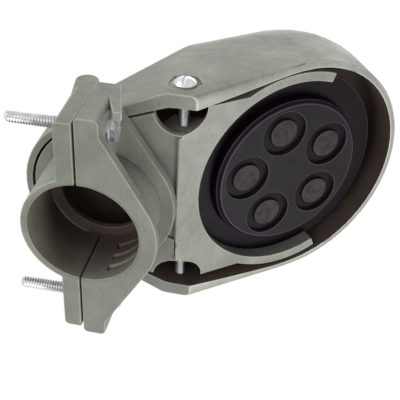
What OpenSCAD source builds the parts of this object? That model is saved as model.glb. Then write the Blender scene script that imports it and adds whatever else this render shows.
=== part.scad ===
// Clamp-on service entrance weatherhead for 1-1/4 inch rigid conduit.
// +Z runs up the conduit, +X points to the wire outlet, the origin is the centre of the collar mouth.

/* [Conduit clamp] */
// Outside diameter of the conduit that the collar grips
conduit_d = 42.2; // [40:0.1:44]
// Room between the conduit and the bore, on the radius
bore_clear = 0.2; // [0.1:0.05:0.4]
// Length of the clamp along the conduit
clamp_l = 27; // [25:0.5:30]
// Slit between the two halves of the clamp
clamp_gap = 0.8; // [0.6:0.1:1.4]
// How far the slit lies behind the conduit axis
slit_back = 1.8; // [0:0.1:3]
// Wall of the loose strap
strap_wall = 2.6; // [2.2:0.1:3.4]
// Wall of the half collar that is cast on the body
collar_wall = 3; // [2.6:0.1:4]
// Number of grip grooves round the half bore
grip_count = 3; // [1:1:4]
// Depth of a grip groove
grip_h = 1; // [0.4:0.1:1.4]
// Width of a grip groove at the bore
grip_w = 3.4; // [2:0.1:4]

/* [Collar flanges] */
// How far the front flange stands out past the bore
flange_w = 6.8; // [6:0.1:9]
// Thickness of each flange
flange_t = 4; // [3:0.5:5]
// How much wider the rear flange is than the front one
rear_extra = 1.6; // [0:0.2:2]

/* [Clamp ears] */
// Distance from the axis to the clamp bolts
bolt_y = 38.8; // [37.5:0.1:41]
// How far the clamp bolts lie below the middle of the clamp
bolt_drop = 1.3; // [0:0.1:3]
// Ear past the bolt centre on the body
ear_over = 10.2; // [7:0.2:12]
// How much shorter the ear of the strap is
strap_short = 2.6; // [0:0.2:3.5]
// How far the tip of the strap ear rises past the clamp
strap_rise = 10; // [6:0.2:10]
// How much thicker the lobe of the strap ear is
lobe_extra = 2; // [0:0.1:2.4]
// Thickness of the ear on the body
body_ear_t = 8.9; // [8:0.1:10]
// Thickness of the ear on the strap
strap_ear_t = 6.8; // [5.5:0.1:8]
// Corner radius of the ears
ear_round = 2; // [0.5:0.1:2.6]
// Length of the slanted rib at each ear
rib_len = 19; // [14:0.5:20]
// How far that rib leans away from the ear
rib_out = 6; // [4:0.2:7]
// Thickness of that rib
rib_t = 3; // [2:0.2:3.4]
// Width of that rib along the ear
rib_w = 3.6; // [2.4:0.2:4]

/* [Clamp bolts] */
// Diameter of a clamp bolt
bolt_d = 4.82; // [4.5:0.02:5.2]
// Length of a clamp bolt under the head
bolt_l = 38.1; // [32:0.1:44]
// Width of the hexagon head across flats
hex_af = 7.9; // [7:0.1:9]
// Height of the hexagon head
hex_h = 3.2; // [2.4:0.1:4]
// Diameter of the washer face under the hexagon
washer_d = 9.8; // [9.2:0.1:10.6]
// Thickness of the washer face
washer_t = 1; // [0.6:0.1:1.4]
// Running clearance round a bolt or screw, on the radius
run_clear = 0.06; // [0.03:0.01:0.1]

/* [Wire outlet] */
// Slope of the outlet frame above the horizontal
outlet_tilt = 38.5; // [36:0.5:43]
// Distance of the hinge edge of the outlet frame from the conduit axis
ridge_x = 33; // [32.5:0.5:35]
// Radius of the outlet frame
frame_r = 45.5; // [45:0.1:47]
// Radius of the opening in the outlet frame
frame_hole_r = 41.4; // [40:0.1:41.8]
// Depth of the outlet frame
frame_t = 11; // [10:0.5:13]
// Angle of the gap between the tips of the frame arms
frame_open = 136; // [110:2:150]

/* [Wire separator] */
// Radius of the raised disc
disc_r = 32.6; // [31:0.1:34]
// How far the separator flange reaches into its groove
groove_in = 1.8; // [1.2:0.1:2.2]
// Thickness of the separator flange
lip_t = 3; // [2.4:0.1:3.6]
// How far the disc stands in front of its flange
disc_rise = 5.6; // [4:0.1:6.5]
// Wall of the moulded disc
disc_wall = 2.6; // [2:0.1:3.2]
// Number of knockouts
ko_count = 5; // [3:1:6]
// Radius of the ring that the knockouts lie on
ko_ring = 19.6; // [18.5:0.1:20.5]
// Radius of a knockout
ko_r = 9.8; // [7:0.1:10.2]
// Radius of the raised pad inside a knockout
ko_pad_r = 6.2; // [4:0.1:6.6]
// Turn of the knockout pattern
ko_turn = 7; // [-36:1:36]
// Depth of a knockout groove
ko_depth = 2; // [1:0.1:2.4]

/* [Hood] */
// Wall of the hood
hood_wall = 2.8; // [2.4:0.1:3.4]
// Room between the outlet frame and the hood
hood_clear = 1.2; // [0.9:0.1:1.6]
// Extra wall of the hood at its screws
screw_pad = 3.4; // [2.6:0.1:4.2]
// How far the rim of the hood stands in front of the outlet frame
rim_proud = 0; // [0:0.5:3]
// How far its rim stands in front of that frame at the screws
knee_proud = 3.4; // [2:0.2:4]
// How much narrower the hood is at its screws
side_in = 2.4; // [1:0.2:3]
// How far the nose of the hood reaches past the outlet frame
nose_reach = 2.7; // [1:0.1:3.5]
// Height of the straight skirt round the nose
nose_skirt = 6; // [5:0.5:10]
// Radius of the crown over the outlet
crown_r = 49; // [46:0.5:49]
// Rounding of the crown over the outlet
crown_round = 20; // [17:0.5:21]
// Slope of the crown
crown_tilt = 21; // [18:1:23]
// Distance of the crown centre from the conduit axis
crown_x = 58.5; // [56:0.5:60]
// Height of the crown centre above the rear rim
crown_rise = 56; // [53:0.5:58]
// Rounding of the hood above its screws
shoulder_round = 15; // [12:0.5:16]
// Height of the straight side above the screws
shoulder_h = 39; // [36:0.5:41]
// Radius of the rear of the hood
rear_r = 32; // [31.5:0.1:33]
// Height of the straight skirt at the rear
rear_skirt = 12; // [10:0.5:16]
// Rounding of the crown at the rear
rear_round = 20; // [16:0.5:22]
// Height of the rear rim above the clamp
rim_gap = 1.2; // [0.8:0.1:2]

/* [Hood screws] */
// Diameter of a hood screw
screw_d = 4.16; // [3.9:0.02:4.4]
// Length of a hood screw under the head
screw_l = 20; // [18:0.5:22]
// Diameter of the pan head
pan_d = 8.6; // [7.6:0.1:9.2]
// Height of the pan head
pan_h = 2.9; // [2.2:0.1:3.4]
// Distance of the hood screws from the conduit axis
screw_x = 29; // [28:0.5:30]
// Height of the hood screws above the rear rim
screw_rise = 9.6; // [8.5:0.1:11]
// Radius of the pocket round a screw shank
pocket_r = 9.4; // [8:0.2:10]

/* [Neck plate] */
// Thickness of the neck plate
plate_t = 2.8; // [2.4:0.1:3.4]
// Radius of the round pad under the floor
pad_r = 3.7; // [2.5:0.1:4]
// Height of that pad
pad_h = 1.2; // [0.4:0.1:1.6]
// Distance of that pad from the middle
pad_y = 21.4; // [16:0.2:24]
// Width of the stop that the conduit butts against
stop_w = 3.6; // [2.5:0.1:4.5]

/* [Hidden] */
$fn = 96;
eps = 0.02;
big = 400;

bore_r = conduit_d / 2 + bore_clear;
body_slit = -slit_back + clamp_gap / 2;
strap_slit = -slit_back - clamp_gap / 2;
bolt_z = clamp_l / 2 - bolt_drop;
flange_r = bore_r + flange_w;
ear_tip = bolt_y + ear_over;
ear_face = body_slit + body_ear_t;
ear_knee = bolt_y + washer_d / 2 - 1.2;
rim_z = clamp_l + rim_gap;
plate_z = rim_z + 0.4;
plate_top = plate_z + plate_t;
seat_clear = 0.1;

// Outlet plane: out_u climbs it, out_w points up and back into the hood.
ridge_z = plate_z + 1.9;
out_u = [cos(outlet_tilt), 0, sin(outlet_tilt)];
out_w = [-sin(outlet_tilt), 0, cos(outlet_tilt)];
heel = 0.6;
outlet_pos = [ridge_x, 0, ridge_z] + out_u * (frame_r + heel);
face_back = 0.8;
lip_back = face_back + disc_rise;
groove_r = frame_hole_r + groove_in;
lip_r = groove_r - 0.3;

hood_in_r = frame_r + hood_clear;
hood_out_r = hood_in_r + hood_wall;
side_r = hood_out_r - side_in;
shoulder_x = screw_x - 4;
shoulder_r = 4;
knee_r = 2.5;
screw_z = rim_z + screw_rise;
screw_seat = side_r - 0.8;
knee_x = ridge_x + ((rim_z - ridge_z) * cos(outlet_tilt) + knee_proud) / sin(outlet_tilt);
lug_face = screw_seat - screw_l + 3.6;
pocket_y = lug_face + pocket_r;

// Puts children in the outlet plane: x climbs it, y stays, z points back into the hood.
module in_outlet() translate(outlet_pos) rotate([0, -outlet_tilt, 0]) children();

// A copy on each side of the plane of symmetry.
module both_sides() {
  children();
  mirror([0, 1, 0]) children();
}

// ---------------------------------------------------------------- collar

// Angle at which the line from the ear knee touches a flange of radius r.
function touch(r) = atan2(ear_knee, ear_face) - acos(r / norm([ear_face, ear_knee]));

// Upper half of a flange with its ear, as an outline that ends on the axis.
module flange_half(r) {
  a = touch(r);
  polygon(concat(
    [[body_slit, 0], [body_slit, ear_tip - ear_round]],
    [for (t = [180:-15:0]) t > 90
      ? [body_slit + ear_round, ear_tip - ear_round] + ear_round * [cos(t), sin(t)]
      : [ear_face - ear_round, ear_tip - ear_round] + ear_round * [cos(t), sin(t)]],
    [[ear_face, ear_knee]],
    [for (k = [0:12]) r * [cos(a * (1 - k / 12)), sin(a * (1 - k / 12))]]));
}

module flange(r, z, t) translate([0, 0, z]) linear_extrude(t) {
  flange_half(r);
  mirror([0, 1]) flange_half(r);
}

// Ear block between the flanges, rounded at its tip like the flanges.
module body_ear() intersection() {
  flange(flange_r, 0, clamp_l);
  linear_extrude(clamp_l) translate([body_slit, bore_r]) square([body_ear_t, big]);
}

// Slanted rib that shields a bolt head at the tip of the ear.
module ear_rib() translate([ear_face, ear_tip, clamp_l]) rotate([90, 0, 0]) linear_extrude(rib_w)
  polygon([[-rib_t, 0], [0.5, 0], [rib_out, -rib_len], [rib_out - rib_t, -rib_len - 0.8], [-rib_t, -rib_t * 2]]);

// Everything right of the slit.
module right_half() translate([body_slit, -big / 2, -1]) cube([big, big, big]);

// Grooves round the half bore; the lands between them bite the conduit.
module grip_grooves() rotate([0, 0, -70]) rotate_extrude(angle = 140)
  for (i = [0:grip_count - 1])
    translate([bore_r, clamp_l * (i + 1) / (grip_count + 1)])
      polygon([[-1, -grip_w / 2], [0, -grip_w / 2], [grip_h, -grip_w / 4], [grip_h, grip_w / 4],
        [0, grip_w / 2], [-1, grip_w / 2]]);

module collar_half() {
  difference() {
    union() {
      intersection() {
        cylinder(r = bore_r + collar_wall, h = plate_z + eps);
        right_half();
      }
      flange(flange_r, 0, flange_t);
      flange(flange_r + rear_extra, clamp_l - flange_t - 2, flange_t);
      both_sides() body_ear();
      mirror([0, 1, 0]) ear_rib();
    }
    translate([0, 0, -1]) cylinder(r = bore_r, h = plate_z + 1);
    grip_grooves();
    both_sides() translate([body_slit - 1, bolt_y, bolt_z]) rotate([0, 90, 0])
      cylinder(r = bolt_d / 2 + run_clear, h = body_ear_t + 2);
  }
}

// ---------------------------------------------------------------- body

// Plan of the hood, drawn in by inset.
function plan(inset, pad) =
  let (r = rear_r - inset,
       c = [shoulder_x, side_r - shoulder_r - pad],
       s = shoulder_r - min(inset, shoulder_r - 0.5),
       d = norm(c),
       a = atan2(c[1], c[0]) + acos((r - s) / d))
  concat(
    [for (k = [0:24]) r * [cos(180 - (180 - a) * k / 24), sin(180 - (180 - a) * k / 24)]],
    [for (k = [0:4]) c + [0, -max(inset - shoulder_r + 0.5, 0)]
      + s * [cos(a + (90 - a) * k / 4), sin(a + (90 - a) * k / 4)]]);

// Floor of the hood, from the rear wall to the hinge edge of the outlet frame.
module neck_floor() translate([0, 0, plate_z]) linear_extrude(plate_t) {
  p = plan(hood_wall + 0.8, screw_pad);
  q = concat(p, [[ridge_x, p[len(p) - 1][1]], [ridge_x, 0]]);
  polygon(q);
  mirror([0, 1]) polygon(q);
}

// Frame outline in the outlet plane: a ring with a square heel along the hinge edge.
module frame_outline() {
  circle(r = frame_r);
  w = side_r - hood_wall - screw_pad - 0.8;
  translate([-frame_r - heel, -w]) square([frame_r + heel - 14, 2 * w]);
}

// Wedge that parts the tips of the frame arms.
module arm_gap() polygon([[0, 0], [big * cos(frame_open / 2), big * sin(frame_open / 2)],
  [big, 0], [big * cos(frame_open / 2), -big * sin(frame_open / 2)]]);

module outlet_frame() in_outlet() difference() {
  union() {
    linear_extrude(4) difference() {
      frame_outline();
      arm_gap();
    }
    linear_extrude(frame_t) difference() {
      circle(r = frame_r);
      arm_gap();
    }
  }
  translate([0, 0, -1]) cylinder(r = frame_hole_r, h = frame_t + 2);
  translate([0, 0, lip_back - seat_clear]) cylinder(r = groove_r, h = lip_t + 2 * seat_clear);
}

// Web behind each pocket that takes the thread of a hood screw.
module screw_lug() {
  lug_t = 5;
  translate([0, lug_face, 0]) rotate([90, 0, 0]) linear_extrude(lug_t)
    polygon([[screw_x - pocket_r - 2, plate_z], [ridge_x, plate_z],
      [ridge_x + 9, ridge_z + 9 * tan(outlet_tilt) + 1], [ridge_x + 4, screw_z + 6],
      [screw_x - 5, screw_z + 6]]);
}

// Floor, frame and lugs, trimmed by the outlet plane.
module pan() difference() {
  union() {
    difference() {
      union() {
        neck_floor();
        outlet_frame();
      }
      // pockets round the screw shanks
      both_sides() translate([screw_x, pocket_y, 0]) cylinder(r = pocket_r, h = screw_z + 20);
    }
    both_sides() screw_lug();
    // round pad left on one side of the floor
    translate([ridge_x - 1 - pad_r, pad_y, plate_z - pad_h]) cylinder(r = pad_r, h = pad_h + 1);
    // hinge edge of the outlet frame, drawn out as a rib
    translate([ridge_x - 4, -lug_face + 1, plate_z - 1]) cube([4, 2 * lug_face - 2, 4]);
  }
  in_outlet() translate([-big / 2, -big / 2, -big]) cube([big, big, big]);
}

module body() color("#9b9d92") difference() {
  union() {
    collar_half();
    pan();
    // round boss under the floor
    translate([ridge_x - 7, 21, plate_z - 1.2]) cylinder(r = 3.6, h = 1.6);
  }
  // passage for the conductors
  translate([0, 0, plate_z - eps]) cylinder(r = bore_r - stop_w, h = plate_t + 1);
  both_sides() translate([screw_x, lug_face + 1, screw_z]) rotate([90, 0, 0])
    cylinder(r = screw_d / 2 + run_clear, h = 8);
}

// ---------------------------------------------------------------- strap

// Upper half of the strap ear, with a round corner at its tip.
module strap_ear_plan() {
  tip = ear_tip - strap_short;
  corner = [strap_slit - strap_ear_t + ear_round, tip - ear_round];
  polygon(concat([[strap_slit + 1, 0], [strap_slit + 1, tip]],
    [for (t = [90:15:180]) corner + ear_round * [cos(t), sin(t)]],
    [[strap_slit - strap_ear_t, 0]]));
}

module strap_outline() difference() {
  union() {
    circle(r = bore_r + strap_wall);
    strap_ear_plan();
    mirror([0, 1]) strap_ear_plan();
  }
  circle(r = bore_r);
  translate([strap_slit, -big / 2]) square([big, big]);
}

// Rounded lobe at the rear of a strap ear, outside the hood.
module strap_tip() {
  r = (strap_ear_t + lobe_extra) / 2;
  translate([strap_slit, ear_tip - strap_short - 0.6, clamp_l]) rotate([90, 0, 0])
    linear_extrude(ear_tip - strap_short - 0.6 - bolt_y + bolt_d / 2)
      polygon(concat([[0, -9], [0, strap_rise - r]],
        [for (t = [15:15:165]) [r * cos(t) - r, strap_rise - r + r * sin(t)]],
        [[-2 * r, strap_rise - r], [-strap_ear_t + 0.5, -9]]));
}

module clamp_strap() color("#9b9d92") difference() {
  union() {
    linear_extrude(clamp_l) strap_outline();
    both_sides() strap_tip();
  }
  both_sides() translate([strap_slit - strap_ear_t - 1, bolt_y, bolt_z]) rotate([0, 90, 0])
    cylinder(r = bolt_d / 2 + run_clear, h = strap_ear_t + 2);
}

// ---------------------------------------------------------------- fasteners

// Bolt along -X with its bearing face at the origin.
module hex_bolt() {
  tip = 0.8;
  rotate([0, -90, 0]) {
    cylinder(d = bolt_d, h = bolt_l - tip);
    translate([0, 0, bolt_l - tip]) cylinder(d1 = bolt_d, d2 = bolt_d - 1.6 * tip, h = tip);
  }
  rotate([0, 90, 0]) difference() {
    union() {
      cylinder(d = washer_d, h = washer_t);
      rotate([0, 0, 30]) cylinder(d = hex_af / cos(30), h = hex_h, $fn = 6);
    }
    translate([-big / 2, -0.6, hex_h - 1.2]) cube([big, 1.2, big]);
  }
}

module clamp_bolt(side) color("#c9ccd0") translate([ear_face, side * bolt_y, bolt_z]) hex_bolt();
module clamp_bolt_a() clamp_bolt(-1);
module clamp_bolt_b() clamp_bolt(1);

// Pan head screw along +Y with its bearing face at the origin.
module pan_screw() {
  tip = 0.6;
  rotate([-90, 0, 0]) {
    cylinder(d = screw_d, h = screw_l - tip);
    translate([0, 0, screw_l - tip]) cylinder(d1 = screw_d, d2 = screw_d - 1.6 * tip, h = tip);
  }
  dome_r = (pow(pan_d / 2, 2) + pow(pan_h, 2)) / (2 * pan_h);
  rotate([90, 0, 0]) difference() {
    intersection() {
      cylinder(d = pan_d, h = pan_h);
      translate([0, 0, pan_h - dome_r * 1.25]) sphere(r = dome_r * 1.25);
    }
    translate([-0.65, -big / 2, pan_h - 1.5]) cube([1.3, big, big]);
  }
}

module hood_screw_a() color("#c9ccd0") translate([screw_x, -screw_seat, screw_z]) pan_screw();
module hood_screw_b() color("#c9ccd0") mirror([0, 1, 0])
  translate([screw_x, -screw_seat, screw_z]) pan_screw();

// ---------------------------------------------------------------- separator

module knockout_cut() translate([0, 0, face_back - eps]) difference() {
  cylinder(r = ko_r, h = ko_depth);
  translate([0, 0, 0.4]) cylinder(r1 = ko_pad_r - 0.4, r2 = ko_pad_r, h = ko_depth);
}

module wire_separator() color("#2b2529") in_outlet() difference() {
  rotate_extrude() polygon([
    [0, face_back], [disc_r - 1.4, face_back], [disc_r, face_back + 1.4],
    [disc_r + 0.6, lip_back], [lip_r, lip_back], [lip_r, lip_back + lip_t],
    [disc_r - disc_wall, lip_back + lip_t], [disc_r - disc_wall - 0.4, face_back + disc_wall + ko_depth],
    [0, face_back + disc_wall + ko_depth]]);
  for (i = [0:ko_count - 1]) rotate([0, 0, ko_turn + 180 + i * 360 / ko_count])
    translate([ko_ring, 0, 0]) knockout_cut();
}

// ---------------------------------------------------------------- hood

// Crown edge: the quarter round that turns a wall of radius r into a flat top.
module crown_ring(r, round_r) rotate_extrude($fn = 56)
  polygon(concat([[0, 0]],
    [for (k = [0:9]) [r - round_r + round_r * cos(10 * k), round_r * sin(10 * k)]],
    [[0, round_r]]));

// Smooth dome between the rear wall, the screw shoulders and the nose.
// in: wall taken off all round, pad: extra wall at the screws, drop: how far it runs past the rims.
module dome(in, pad, drop) hull() {
  translate([0, 0, rim_z - drop]) cylinder(r = rear_r - in, h = rear_skirt + drop, $fn = 56);
  translate([0, 0, rim_z + rear_skirt]) crown_ring(rear_r - in, rear_round - in);
  for (s = [-1, 1]) {
    translate([shoulder_x, s * (side_r - pad - shoulder_r), rim_z - drop])
      cylinder(r = max(shoulder_r - in, 0.6), h = shoulder_h / 2 + drop, $fn = 24);
    translate([knee_x - knee_r + 2 * drop, s * (side_r - pad - max(knee_r, in + 0.4)), rim_z - drop])
      cylinder(r = max(knee_r - in, 0.4), h = shoulder_h / 2 + drop, $fn = 24);
    translate([screw_x, s * (side_r - shoulder_round), rim_z + shoulder_h])
      sphere(r = shoulder_round - in, $fn = 40);
  }
  for (x = [0, nose_reach]) in_outlet() translate([x, 0, -rim_proud - drop])
    cylinder(r = hood_out_r - in, h = nose_skirt + drop, $fn = 72);
  translate([crown_x, 0, rim_z + crown_rise]) rotate([0, -crown_tilt, 0])
    crown_ring(crown_r - in, crown_round - in);
}

module hood() color("#a3a599") difference() {
  dome(0, 0, 0);
  dome(hood_wall, screw_pad, 2);
  translate([-big / 2, -big / 2, rim_z - big]) cube([big, big, big]);
  both_sides() translate([screw_x, -screw_seat, screw_z]) rotate([90, 0, 0]) {
    cylinder(d = pan_d + 3.4, h = 10);
    translate([0, 0, -20]) cylinder(r = screw_d / 2 + run_clear, h = 22);
  }
}

body();
clamp_strap();
hood();
wire_separator();
clamp_bolt_a();
clamp_bolt_b();
hood_screw_a();
hood_screw_b();
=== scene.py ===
import math
import bmesh
import bpy
from mathutils import Matrix, Vector


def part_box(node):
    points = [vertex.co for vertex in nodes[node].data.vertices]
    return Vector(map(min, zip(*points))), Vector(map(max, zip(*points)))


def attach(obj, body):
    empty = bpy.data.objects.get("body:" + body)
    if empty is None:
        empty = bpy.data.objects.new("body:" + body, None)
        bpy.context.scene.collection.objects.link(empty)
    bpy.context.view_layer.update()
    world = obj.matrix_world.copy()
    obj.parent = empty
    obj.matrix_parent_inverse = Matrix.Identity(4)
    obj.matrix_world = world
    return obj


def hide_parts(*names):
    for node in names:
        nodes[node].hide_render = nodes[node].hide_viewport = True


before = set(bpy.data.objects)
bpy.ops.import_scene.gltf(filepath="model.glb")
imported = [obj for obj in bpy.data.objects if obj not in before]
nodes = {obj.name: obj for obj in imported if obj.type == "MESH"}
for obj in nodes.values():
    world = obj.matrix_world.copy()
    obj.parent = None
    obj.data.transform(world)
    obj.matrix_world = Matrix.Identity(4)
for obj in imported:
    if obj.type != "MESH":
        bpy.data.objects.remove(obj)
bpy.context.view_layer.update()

MM = 0.001

# The outlet: the tilted plane that the frame, the separator and the hood's rim lie along, as in part.scad.
OUTLET_TILT = math.radians(38.5)
along = Vector((math.cos(OUTLET_TILT), 0, math.sin(OUTLET_TILT)))
outward = Vector((math.sin(OUTLET_TILT), 0, -math.cos(OUTLET_TILT)))
outlet = Vector((33 * MM, 0, 30.5 * MM)) + along * 46.1 * MM
# A point in the middle of the hood's hollow.
heart = Vector((35 * MM, 0, 50 * MM))

# Rounded edges: the radius on each kind of piece, and what is too small or too blunt to be rounded.
CASTING_ROUND = 0.45 * MM
HOOD_ROUND = 0.5 * MM
MOULDING_ROUND = 0.3 * MM
SHARP_EDGE = math.radians(32)
KNIFE_CORNER = math.radians(35)
TINY_FACE = 0.15 * MM * MM
SLIVER = 0.13 * MM
FLAT_ENOUGH = math.radians(0.6)

# Places that the materials tell apart, for painted shade and light and for the scuffed pads: the bore, the
# hood's rim and skirt, and the parts of the separator.
BORE_RADIUS = 22.3 * MM
BORE_TOP = 33 * MM
COLLAR_TOP = 30 * MM
SKIRT_TOP = 45 * MM
RIM_DEPTH = 4 * MM
FLANGE_RADIUS = 31 * MM
KNOCKOUTS_RADIUS = 26 * MM
SMALLEST_PAD = 3 * MM
LARGEST_PAD = 6.8 * MM
GROOVE_TOP = 2 * MM
GROOVE_BOTTOM = 4 * MM

# Bolts and screws, in mm. The pitch is 24 to the inch on the bolts and 32 to the inch on the screws.
BOLT = {"radius": 2.41, "pitch": 1.0583, "neck": 5.0}
SCREW = {"radius": 2.08, "pitch": 0.794, "neck": 2.5}
BOLT_HEAD = 3.2
SCREW_SHANK = 20.0
TIP_LENGTH = 1.3
TIP_SLOPE = 0.6
# The thread's depth, and the width of its flat tops and roots, as shares of the pitch.
THREAD_DEPTH = 0.48
THREAD_FLAT = 0.12
# The mesh of a shank: sides round it, and rows to a turn of the thread.
SIDES = 20
ROWS_A_TURN = 6

# The camera's own directions in the shared frame, which the lamps are placed by too.
right = Vector((0.9788, -0.0366, 0.2016))
up = Vector((-0.1469, -0.8114, 0.5657))
back = Vector((0.1429, -0.5833, -0.7996))
camera_place = Vector((0.0873, -0.2036, -0.2471))
middle = Vector((0.03, 0, 0.045))


# ------------------------------------------------------------------ materials

class Graph:
    """A node material, built up from a few kinds of step."""

    def __init__(self, name):
        self.mat = bpy.data.materials.new(name)
        self.mat.use_nodes = True
        self.tree = self.mat.node_tree
        self.shader = self.tree.nodes["Principled BSDF"]
        self.coord = self.tree.nodes.new("ShaderNodeTexCoord").outputs["Object"]

    def node(self, kind, **values):
        """A new node; each value goes to the property of that name, or else to the input."""
        n = self.tree.nodes.new(kind)
        for key, value in values.items():
            if hasattr(n, key):
                setattr(n, key, value)
            else:
                n.inputs[key.replace("_", " ")].default_value = value
        return n

    def link(self, source, socket):
        self.tree.links.new(source, socket)

    def feed(self, socket, value):
        """Links an output to a socket, or sets a number or a colour on it."""
        if isinstance(value, bpy.types.NodeSocket):
            self.link(value, socket)
        elif isinstance(value, (int, float)):
            socket.default_value = value
        else:
            socket.default_value = (*value, 1.0)

    def noise(self, scale, detail, rough, stretch=None):
        n = self.node("ShaderNodeTexNoise", Scale=scale, Detail=detail, Roughness=rough)
        source = self.coord
        if stretch:
            m = self.node("ShaderNodeMapping")
            m.inputs["Scale"].default_value = stretch
            self.link(self.coord, m.inputs["Vector"])
            source = m.outputs["Vector"]
        self.link(source, n.inputs["Vector"])
        return n.outputs["Fac"]

    def ramp(self, fac, *stops):
        """A colour ramp; each stop is a position and a colour."""
        r = self.node("ShaderNodeValToRGB")
        elements = r.color_ramp.elements
        while len(elements) < len(stops):
            elements.new(0.5)
        for element, (position, colour) in zip(elements, stops):
            element.position = position
            element.color = (*colour, 1.0)
        self.link(fac, r.inputs["Fac"])
        return r.outputs["Color"]

    def mix(self, fac, a, b, mode="MIX"):
        m = self.node("ShaderNodeMix", data_type="RGBA", blend_type=mode)
        # a mix node of colours has its factor at input 0 and its colours at inputs 6 and 7
        self.feed(m.inputs[0], fac)
        self.feed(m.inputs[6], a)
        self.feed(m.inputs[7], b)
        return m.outputs[2]

    def math(self, operation, a, b):
        m = self.node("ShaderNodeMath", operation=operation)
        self.feed(m.inputs[0], a)
        self.feed(m.inputs[1], b)
        return m.outputs[0]

    def bump(self, *layers):
        """Bumps laid on one another; each layer is a height, a strength and a distance."""
        normal = None
        for height, strength, distance in layers:
            b = self.node("ShaderNodeBump", Strength=strength, Distance=distance)
            self.link(height, b.inputs["Height"])
            if normal:
                self.link(normal, b.inputs["Normal"])
            normal = b.outputs["Normal"]
        self.link(normal, self.shader.inputs["Normal"])

    def height(self, low, high, start):
        """How far up the object a point is: start at low, 1 at high."""
        split = self.node("ShaderNodeSeparateXYZ")
        self.link(self.coord, split.inputs[0])
        m = self.node("ShaderNodeMapRange", clamp=True)
        for name, value in zip(("From Min", "From Max", "To Min", "To Max"), (low, high, start, 1.0)):
            m.inputs[name].default_value = value
        self.link(split.outputs["Z"], m.inputs["Value"])
        return m.outputs["Result"]

    def near_axis(self, radius, top):
        """1 within a radius of the object's Z axis and below top, 0 elsewhere."""
        flat = self.node("ShaderNodeVectorMath", operation="MULTIPLY")
        flat.inputs[1].default_value = (1, 1, 0)
        self.link(self.coord, flat.inputs[0])
        reach = self.node("ShaderNodeVectorMath", operation="LENGTH")
        self.link(flat.outputs["Vector"], reach.inputs[0])
        split = self.node("ShaderNodeSeparateXYZ")
        self.link(self.coord, split.inputs[0])
        close = self.math("LESS_THAN", reach.outputs["Value"], radius)
        low = self.math("LESS_THAN", split.outputs["Z"], top)
        return self.math("MULTIPLY", close, low)

    def marked(self, name):
        """How far a face is marked under this name, 0 to 1."""
        reader = self.node("ShaderNodeAttribute", attribute_type="GEOMETRY", attribute_name=name)
        return reader.outputs["Fac"]


def grey(v):
    return (v, v, v)


def cast_metal(name, light, dark, cloud_scale):
    """As-cast aluminium: a dull grey-green skin, cloudy patches, fine grit and a few dark specks, with
    painted shade in the hollows and painted highlights on the edges and the hood's rim.
    """
    g = Graph(name)
    base = g.ramp(g.noise(cloud_scale, 5.0, 0.6), (0.30, dark), (0.72, light))
    flow = g.ramp(g.noise(120, 3.0, 0.5, (1.0, 0.35, 2.2)), (0.25, grey(0.80)), (0.75, grey(1.0)))
    base = g.mix(0.75, base, flow, "MULTIPLY")
    specks = g.ramp(g.noise(900, 2.0, 0.5), (0.30, grey(0.72)), (0.42, grey(1.0)))
    base = g.mix(0.6, base, specks, "MULTIPLY")
    # painted shade: the hollow of the hood and the bore are painted a darker brown, fading toward the
    # mouth of the collar
    shade_tint = g.mix(1.0, base, (0.46, 0.34, 0.34), "MULTIPLY")
    shaded_place = g.math("MAXIMUM", g.marked("painted_shade"), g.near_axis(BORE_RADIUS, BORE_TOP))
    shade_depth = g.height(1 * MM, 22 * MM, 0.30)
    base = g.mix(g.math("MULTIPLY", shaded_place, shade_depth), base, shade_tint)
    # painted highlight on the outside edges, which are painted paler; the inside corners are painted
    # darker
    painted_edges = g.ramp(g.marked("edge"), (0.0, grey(1.0)), (0.5, grey(0.70)), (1.0, grey(1.42)))
    base = g.mix(1.0, base, painted_edges, "MULTIPLY")
    # painted light: the face of the hood's rim is painted paler
    rim_light = g.ramp(g.marked("rim"), (0.0, grey(1.0)), (1.0, grey(1.24)))
    base = g.mix(1.0, base, rim_light, "MULTIPLY")
    g.link(base, g.shader.inputs["Base Color"])
    rough = g.ramp(g.noise(70, 4.0, 0.6), (0.3, grey(0.46)), (0.75, grey(0.64)))
    g.link(rough, g.shader.inputs["Roughness"])
    g.shader.inputs["Metallic"].default_value = 0.25
    g.shader.inputs["Specular IOR Level"].default_value = 0.3
    g.bump((g.noise(1500, 3.0, 0.6), 0.22, 0.4 * MM), (g.noise(260, 3.0, 0.5), 0.16, 1.0 * MM))
    return g.mat


def plastic(name):
    """Moulded black plastic with a plum cast, a faint haze and fine grain, with painted shade on the
    flange and in the grooves and painted highlights on the edges.
    """
    g = Graph(name)
    light = (0.026, 0.021, 0.026)
    dark = (0.013, 0.010, 0.013)
    base = g.ramp(g.noise(60, 4.0, 0.6), (0.3, dark), (0.75, light))
    # painted shade: the outer flange and the grooves are painted darker; the pads of the knockouts are
    # scuffed paler in patches
    base = g.mix(g.marked("painted_shade"), base, (0.005, 0.002, 0.005))
    patchy = g.ramp(g.noise(330, 3.0, 0.6), (0.36, grey(0.30)), (0.62, grey(1.0)))
    base = g.mix(g.math("MULTIPLY", g.marked("scuffed"), patchy), base, (0.070, 0.056, 0.061))
    # painted highlight: outside edges are painted paler
    painted_edges = g.ramp(g.marked("edge"), (0.0, grey(0.0)), (0.5, grey(0.0)), (1.0, grey(0.45)))
    base = g.mix(painted_edges, base, (0.18, 0.17, 0.19))
    g.link(base, g.shader.inputs["Base Color"])
    rough = g.ramp(g.noise(110, 4.0, 0.6), (0.3, grey(0.40)), (0.75, grey(0.56)))
    g.link(rough, g.shader.inputs["Roughness"])
    g.shader.inputs["Specular IOR Level"].default_value = 0.10
    g.bump((g.noise(1800, 2.0, 0.5), 0.10, 0.3 * MM), (g.noise(160, 2.0, 0.5), 0.05, 1.0 * MM))
    return g.mat


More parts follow.
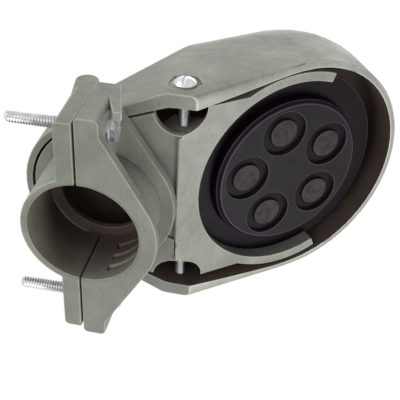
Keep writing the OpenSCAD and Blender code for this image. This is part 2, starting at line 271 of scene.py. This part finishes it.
def zinc(name):
    """Zinc-plated steel with a slight cloudiness and a fine grain."""
    g = Graph(name)
    light = (0.74, 0.75, 0.76)
    dark = (0.54, 0.55, 0.56)
    base = g.ramp(g.noise(400, 4.0, 0.6), (0.3, dark), (0.7, light))
    g.link(base, g.shader.inputs["Base Color"])
    rough = g.ramp(g.noise(300, 3.0, 0.6), (0.3, grey(0.30)), (0.75, grey(0.48)))
    g.link(rough, g.shader.inputs["Roughness"])
    g.shader.inputs["Metallic"].default_value = 0.9
    g.bump((g.noise(1600, 2.0, 0.5), 0.10, 0.2 * MM))
    return g.mat


cast_body = cast_metal("cast_body", (0.40, 0.405, 0.350), (0.27, 0.275, 0.237), 38)
cast_strap = cast_metal("cast_strap", (0.42, 0.425, 0.350), (0.29, 0.295, 0.240), 42)
cast_hood = cast_metal("cast_hood", (0.42, 0.425, 0.370), (0.30, 0.305, 0.265), 46)
separator = plastic("separator")
zinc_steel = zinc("zinc_steel")


# ------------------------------------------------------------------ meshes

def copy_of(node, name):
    """A new mesh with a CAD node's shape, its vertices welded."""
    src = nodes[node]
    bm = bmesh.new()
    bm.from_mesh(src.data)
    bmesh.ops.remove_doubles(bm, verts=bm.verts, dist=0.002 * MM)
    me = bpy.data.meshes.new(name)
    bm.to_mesh(me)
    bm.free()
    ob = bpy.data.objects.new(name, me)
    bpy.context.scene.collection.objects.link(ob)
    ob.matrix_world = src.matrix_world.copy()
    return ob


def dress(ob, mat, slot, body, *stands_for):
    """Gives a piece its material and its body, and lets it stand in for CAD nodes."""
    ob.data.materials.clear()
    ob.data.materials.append(mat)
    for p in ob.data.polygons:
        p.material_index = 0
    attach(ob, body)
    if stands_for:
        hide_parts(*stands_for)


def smooth(ob, angle):
    """Shades a mesh smooth, apart from the edges that are sharper than an angle in degrees."""
    me = ob.data
    for p in me.polygons:
        p.use_smooth = True
    bm = bmesh.new()
    bm.from_mesh(me)
    limit = math.radians(angle)
    for e in bm.edges:
        if len(e.link_faces) == 2 and e.calc_face_angle(0.0) > limit:
            e.smooth = False
    bm.to_mesh(me)
    bm.free()


def weigh_normals(ob):
    """Lets the large faces set the normals at their corners, so that they look flat beside the rounds."""
    weigh = ob.modifiers.new("weigh", "WEIGHTED_NORMAL")
    weigh.keep_sharp = True
    graph = bpy.context.evaluated_depsgraph_get()
    weighed = bpy.data.meshes.new_from_object(
        ob.evaluated_get(graph), preserve_all_data_layers=True, depsgraph=graph)
    ob.modifiers.clear()
    ob.data = weighed


def edges_to_round(bm):
    """The sharp edges, without those on tiny faces or in knife-thin corners of a face."""
    chosen = set()
    for e in bm.edges:
        if len(e.link_faces) == 2 and e.calc_face_angle(0.0) > SHARP_EDGE:
            if min(f.calc_area() for f in e.link_faces) > TINY_FACE:
                chosen.add(e)
    for face in bm.faces:
        for corner in face.loops:
            pair = [corner.edge, corner.link_loop_prev.edge]
            if chosen.issuperset(pair) and corner.calc_angle() < KNIFE_CORNER:
                chosen.discard(min(pair, key=lambda e: e.calc_length()))
    return [e for e in bm.edges if e in chosen]


def soften(ob, radius):
    """Rounds the sharp edges of a piece, and marks the rounds: 1 outside, 0.5 in an inside corner."""
    bm = bmesh.new()
    bm.from_mesh(ob.data)
    # the layer comes before the rounds, because a new layer makes the list of their faces worthless
    layer = bm.faces.layers.float.new("edge")
    # slivers are merged away first, because the rounds would fold over on them
    bmesh.ops.remove_doubles(bm, verts=bm.verts, dist=SLIVER)
    bmesh.ops.dissolve_limit(bm, angle_limit=FLAT_ENOUGH, verts=bm.verts, edges=bm.edges)
    made = bmesh.ops.bevel(
        bm, geom=edges_to_round(bm), affect="EDGES", offset=radius, offset_type="OFFSET",
        segments=2, profile=0.5, clamp_overlap=False, loop_slide=True)
    bm.normal_update()
    for f in made["faces"]:
        if f.is_valid:
            bends = [e.calc_face_angle_signed(0.0) for e in f.edges if len(e.link_faces) == 2]
            f[layer] = 1.0 if sum(bends) > 0 else 0.5
    bm.to_mesh(ob.data)
    bm.free()
    smooth(ob, 40)
    weigh_normals(ob)


def mark(ob, name, test):
    """Marks the faces that pass a test with 1 and the others with 0, for a material to read.
    The test is given a face's centre, its normal and its corners."""
    me = ob.data
    values = []
    for p in me.polygons:
        corners = [me.vertices[i].co for i in p.vertices]
        values.append(1.0 if test(p.center, p.normal, corners) else 0.0)
    layer = me.attributes.new(name, "FLOAT", "FACE")
    layer.data.foreach_set("value", values)


# ------------------------------------------------------------------ castings and moulding

def proud(point):
    """How far a point stands outward of the outlet's plane."""
    return (point - outlet).dot(outward)


def off_axis(point):
    """How far a point is from the axis of the outlet."""
    return (point - outlet - outward * proud(point)).length


def body_shaded(centre, normal, corners):
    """What faces the hood's hollow, above the collar, which is painted darker as shade."""
    return centre.z > COLLAR_TOP and normal.dot(outward) < -0.5


# The face of the hood's rim; the material paints it paler as light.
def hood_rim(centre, normal, corners):
    return normal.dot(outward) > 0.8 and proud(centre) > -RIM_DEPTH


# The faces of the hood's hollow, but not its rim nor the underside of its skirt: painted darker as shade.
def hood_shaded(centre, normal, corners):
    under_skirt = normal.z < -0.85 and centre.z < SKIRT_TOP
    faces_heart = normal.dot((heart - centre).normalized()) > 0.05
    return faces_heart and not hood_rim(centre, normal, corners) and not under_skirt


def separator_shaded(centre, normal, corners):
    """The outer flange, and the floors of the grooves round the knockouts, which are painted dark as
    shade.
    """
    in_groove = normal.dot(outward) > 0.9 and -GROOVE_BOTTOM < proud(centre) < -GROOVE_TOP
    return min(off_axis(p) for p in corners) > FLANGE_RADIUS or in_groove


def knockout_pad(centre, normal, corners):
    """The round faces in the knockouts: all corners are about as far from the centre."""
    reach = [(p - centre).length for p in corners]
    round_face = min(reach) > SMALLEST_PAD and max(reach) < LARGEST_PAD
    return normal.dot(outward) > 0.9 and off_axis(centre) < KNOCKOUTS_RADIUS and round_face


def add_body():
    body = copy_of("body", "cast_body_piece")
    soften(body, CASTING_ROUND)
    # the faces in the hood's hollow are painted darker as shade
    mark(body, "painted_shade", body_shaded)
    dress(body, cast_body, "cast_body", "cap", "body")


def add_strap():
    strap = copy_of("clamp_strap", "cast_strap_piece")
    soften(strap, CASTING_ROUND)
    dress(strap, cast_strap, "cast_strap", "strap", "clamp_strap")


def add_hood():
    hood = copy_of("hood", "cast_hood_piece")
    soften(hood, HOOD_ROUND)
    # the hood's hollow is painted darker as shade
    mark(hood, "painted_shade", hood_shaded)
    # the rim face is painted paler as light
    mark(hood, "rim", hood_rim)
    dress(hood, cast_hood, "cast_hood", "cap", "hood")


def add_separator():
    insert = copy_of("wire_separator", "separator_piece")
    soften(insert, MOULDING_ROUND)
    # the flange and the groove floors are painted darker as shade
    mark(insert, "painted_shade", separator_shaded)
    mark(insert, "scuffed", knockout_pad)
    dress(insert, separator, "separator", "cap", "wire_separator")


# ------------------------------------------------------------------ bolts and screws

def head_of(node, name, keep):
    """The head of a bolt or screw, cut from a copy of its CAD node; keep says which vertices stay."""
    ob = copy_of(node, name)
    bm = bmesh.new()
    bm.from_mesh(ob.data)
    bmesh.ops.delete(bm, geom=[v for v in bm.verts if not keep(v.co)], context="VERTS")
    bm.to_mesh(ob.data)
    bm.free()
    smooth(ob, 30)
    return ob


def shank_radius(z, share, length, radius, pitch, neck):
    """Radius of a shank z below its head, at a share of a turn. It has a plain neck and a tapered tip."""
    depth = THREAD_DEPTH * pitch
    phase = (z / pitch + share) % 1.0
    tooth = 1 - abs(2 * phase - 1)
    tooth = min(max((tooth - THREAD_FLAT) / (1 - 2 * THREAD_FLAT), 0), 1)
    r = radius - depth * (1 - tooth)
    if z < neck:
        r = radius - depth / 2
    into_tip = max(0.0, z - (length - TIP_LENGTH))
    return min(r, radius - TIP_SLOPE * into_tip)


def threaded_shank(name, length, radius, pitch, neck):
    """A shank with a right-hand thread, from the origin along -Z. Sizes are in mm."""
    step = pitch / ROWS_A_TURN
    rows = int(length / step) + 1
    verts = []
    for i in range(rows + 1):
        z = min(i * step, length)
        for j in range(SIDES):
            share = j / SIDES
            r = shank_radius(z, share, length, radius, pitch, neck)
            a = 2 * math.pi * share
            verts.append((r * math.cos(a) * MM, r * math.sin(a) * MM, -z * MM))
    faces = []
    for i in range(rows):
        for j in range(SIDES):
            k = (j + 1) % SIDES
            faces.append((i * SIDES + j, i * SIDES + k, (i + 1) * SIDES + k, (i + 1) * SIDES + j))
    last = rows * SIDES
    faces.append(tuple(range(last, last + SIDES)))
    faces.append(tuple(reversed(range(SIDES))))
    me = bpy.data.meshes.new(name)
    me.from_pydata(verts, [], faces)
    me.update()
    ob = bpy.data.objects.new(name, me)
    bpy.context.scene.collection.objects.link(ob)
    bm = bmesh.new()
    bm.from_mesh(me)
    bmesh.ops.recalc_face_normals(bm, faces=bm.faces)
    bm.to_mesh(me)
    bm.free()
    smooth(ob, 50)
    return ob


def add_clamp_bolt(tag):
    """A clamp bolt: the head of the CAD node, and a threaded shank along -X."""
    lo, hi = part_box(f"clamp_bolt_{tag}")
    face = hi.x - BOLT_HEAD * MM
    head = head_of(f"clamp_bolt_{tag}", f"bolt_head_{tag}", lambda c: c.x > face - 0.1 * MM)
    dress(head, zinc_steel, "zinc_steel", f"bolt_{tag}", f"clamp_bolt_{tag}")
    centre = (lo + hi) / 2
    shank = threaded_shank(f"bolt_shank_{tag}", (face - lo.x) / MM, **BOLT)
    turn = Matrix.Rotation(math.radians(90), 4, "Y")
    shank.matrix_world = Matrix.Translation((face, centre.y, centre.z)) @ turn
    dress(shank, zinc_steel, "zinc_steel", f"bolt_{tag}")


def add_hood_screw(side, tag):
    """A hood screw: the head of the CAD node, and a threaded shank along Y toward the middle."""
    lo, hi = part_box(f"hood_screw_{tag}")
    tip = hi.y if side < 0 else lo.y
    face = tip + side * SCREW_SHANK * MM
    head = head_of(f"hood_screw_{tag}", f"screw_head_{tag}", lambda c: (c.y - face) * side > -0.1 * MM)
    dress(head, zinc_steel, "zinc_steel", "cap", f"hood_screw_{tag}")
    centre = (lo + hi) / 2
    shank = threaded_shank(f"screw_shank_{tag}", abs(tip - face) / MM, **SCREW)
    turn = Matrix.Rotation(math.radians(-90 * side), 4, "X")
    shank.matrix_world = Matrix.Translation((centre.x, face, centre.z)) @ turn
    dress(shank, zinc_steel, "zinc_steel", "cap")


# ------------------------------------------------------------------ camera, lamps, world

def add_camera():
    data = bpy.data.cameras.new("camera")
    data.sensor_width = 36
    data.lens = 81.0
    data.clip_start = 0.01
    data.clip_end = 10
    cam = bpy.data.objects.new("camera", data)
    bpy.context.scene.collection.objects.link(cam)
    bpy.context.scene.camera = cam
    turn = Matrix((right, up, back)).transposed().to_4x4()
    cam.matrix_world = Matrix.Translation(camera_place) @ turn


def add_lamp(name, place, aim, size, power):
    data = bpy.data.lights.new(name, "AREA")
    data.shape = "DISK"
    data.size = size
    data.energy = power
    ob = bpy.data.objects.new(name, data)
    bpy.context.scene.collection.objects.link(ob)
    ob.location = place
    ob.rotation_mode = "QUATERNION"
    ob.rotation_quaternion = (aim - place).to_track_quat("-Z", "Y")


def add_world(colour, strength):
    """Even light of one colour, with plain white behind the object for the camera, gloss and glass."""
    world = bpy.data.worlds.new("world")
    bpy.context.scene.world = world
    world.use_nodes = True
    tree = world.node_tree
    tree.nodes.clear()
    plain = tree.nodes.new("ShaderNodeBackground")
    plain.inputs["Color"].default_value = (*colour, 1)
    plain.inputs["Strength"].default_value = strength
    white = tree.nodes.new("ShaderNodeBackground")
    white.inputs["Color"].default_value = (1, 1, 1, 1)
    white.inputs["Strength"].default_value = 1.0
    path = tree.nodes.new("ShaderNodeLightPath")
    seen = path.outputs["Is Camera Ray"]
    for kind in ("Is Glossy Ray", "Is Transmission Ray"):
        either = tree.nodes.new("ShaderNodeMath")
        either.operation = "MAXIMUM"
        tree.links.new(seen, either.inputs[0])
        tree.links.new(path.outputs[kind], either.inputs[1])
        seen = either.outputs[0]
    mix = tree.nodes.new("ShaderNodeMixShader")
    tree.links.new(seen, mix.inputs[0])
    tree.links.new(plain.outputs[0], mix.inputs[1])
    tree.links.new(white.outputs[0], mix.inputs[2])
    out = tree.nodes.new("ShaderNodeOutputWorld")
    tree.links.new(mix.outputs[0], out.inputs["Surface"])


# ------------------------------------------------------------------ the scene

add_body()
add_strap()
add_hood()
add_separator()
for tag in ("a", "b"):
    add_clamp_bolt(tag)
for side, tag in ((-1, "a"), (1, "b")):
    add_hood_screw(side, tag)

# there is no floor, because the camera looks up from below the object
add_camera()
add_lamp("key", middle + up * 0.80 + back * 0.60 - right * 0.80, middle, 0.50, 5.2)
add_lamp("fill", middle + back * 0.80 - right * 0.45 - up * 0.10, middle, 0.60, 1.85)
add_lamp("low", middle + right * 0.32 - up * 0.45 + back * 0.18, middle + right * 0.02, 0.25, 1.75)
add_lamp("top", Vector((0.05, -0.15, 0.75)), middle, 0.60, 1.5)
add_world((0.95, 0.97, 1.0), 0.22)

bpy.context.scene.view_settings.view_transform = "Standard"
